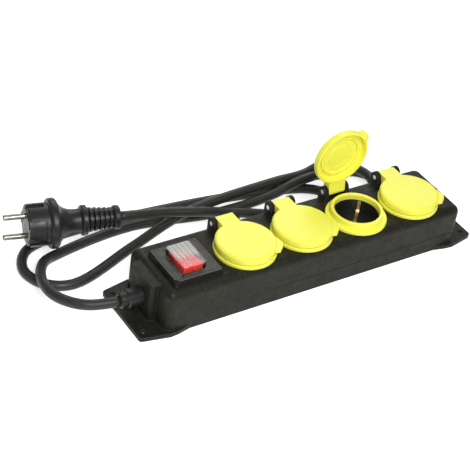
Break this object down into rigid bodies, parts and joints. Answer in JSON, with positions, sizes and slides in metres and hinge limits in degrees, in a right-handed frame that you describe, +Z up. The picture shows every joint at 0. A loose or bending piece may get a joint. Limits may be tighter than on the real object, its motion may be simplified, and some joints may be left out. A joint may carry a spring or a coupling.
{
  "type": "switched outdoor socket strip with cord",
  "caption": "Switched outdoor socket strip with hinged cover lids, mounting ears and a coiled rubber cord ending in a moulded plug.",
  "frame": {"origin": "under the middle of the strip, on the surface it lies on", "axes": "+X along the strip from the cord outlet to the far end, +Y towards the lid hinges, +Z up"},
  "size_m": [0.4005, 0.1602, 0.1091],
  "materials": {
    "body_black": "fine spark-eroded texture",
    "inner_black": "smooth satin",
    "rubber_black": "dull moulded rubber",
    "lid_yellow": "satin gloss",
    "rocker_red": "gloss, translucent",
    "boot_clear": "frosted clear",
    "steel": "zinc plated",
    "nickel": "nickel plated",
    "brass": "bare",
    "wire_brown": "smooth",
    "wire_black": "smooth",
    "wire_blue": "smooth",
    "wire_green": "smooth"
  },
  "bodies": {
    "strip": {"base_tray": "body_black", "top_cover": "body_black", "seam_gasket": "rubber_black", "cover_screws": "steel", "cord_bushing": "rubber_black", "cord_sheath_end": "rubber_black", "cord_clamp": "inner_black", "clamp_screws": "steel", "switch_bezel": "body_black", "switch_housing": "inner_black", "switch_terminals": "brass", "switch_boot": "boot_clear", "socket_collar_1": "lid_yellow", "socket_collar_2": "lid_yellow", "socket_collar_3": "lid_yellow", "socket_collar_4": "lid_yellow", "socket_insert_1": "inner_black", "socket_insert_2": "inner_black", "socket_insert_3": "inner_black", "socket_insert_4": "inner_black", "earth_clip_1": "nickel", "earth_clip_2": "nickel", "earth_clip_3": "nickel", "earth_clip_4": "nickel", "hinge_pin_1": "steel", "hinge_pin_2": "steel", "hinge_pin_3": "steel", "hinge_pin_4": "steel", "live_rail": "brass", "neutral_rail": "brass", "earth_rail": "brass", "live_wire": "wire_brown", "switched_wire": "wire_black", "neutral_wire": "wire_blue", "lamp_wire": "wire_blue", "earth_wire": "wire_green", "plug_body": "rubber_black", "plug_insert": "inner_black", "plug_pins": "nickel", "plug_earth_strips": "nickel", "cord": "rubber_black"},
    "lid_1_body": {"lid_1": "lid_yellow"},
    "lid_2_body": {"lid_2": "lid_yellow"},
    "lid_3_body": {"lid_3": "lid_yellow"},
    "lid_4_body": {"lid_4": "lid_yellow"},
    "rocker_body": {"switch_rocker": "rocker_red"}
  },
  "joints": [
    {"name": "lid_1_hinge", "type": "hinge", "parent": "strip", "child": "lid_1_body", "pos_m": [-0.0621, 0.0283, 0.0478], "axis": [-1, 0, 0], "range_deg": [0, 88]},
    {"name": "lid_2_hinge", "type": "hinge", "parent": "strip", "child": "lid_2_body", "pos_m": [-0.0045, 0.0283, 0.0478], "axis": [-1, 0, 0], "range_deg": [0, 88]},
    {"name": "lid_3_hinge", "type": "hinge", "parent": "strip", "child": "lid_3_body", "pos_m": [0.0531, 0.0283, 0.0478], "axis": [-1, 0, 0], "range_deg": [-88, 0]},
    {"name": "lid_4_hinge", "type": "hinge", "parent": "strip", "child": "lid_4_body", "pos_m": [0.1107, 0.0283, 0.0478], "axis": [-1, 0, 0], "range_deg": [0, 88]},
    {"name": "rocker_pivot", "type": "hinge", "parent": "strip", "child": "rocker_body", "pos_m": [-0.1181, -0.003, 0.0415], "axis": [1, 0, 0], "range_deg": [0, 16]}
  ]
}
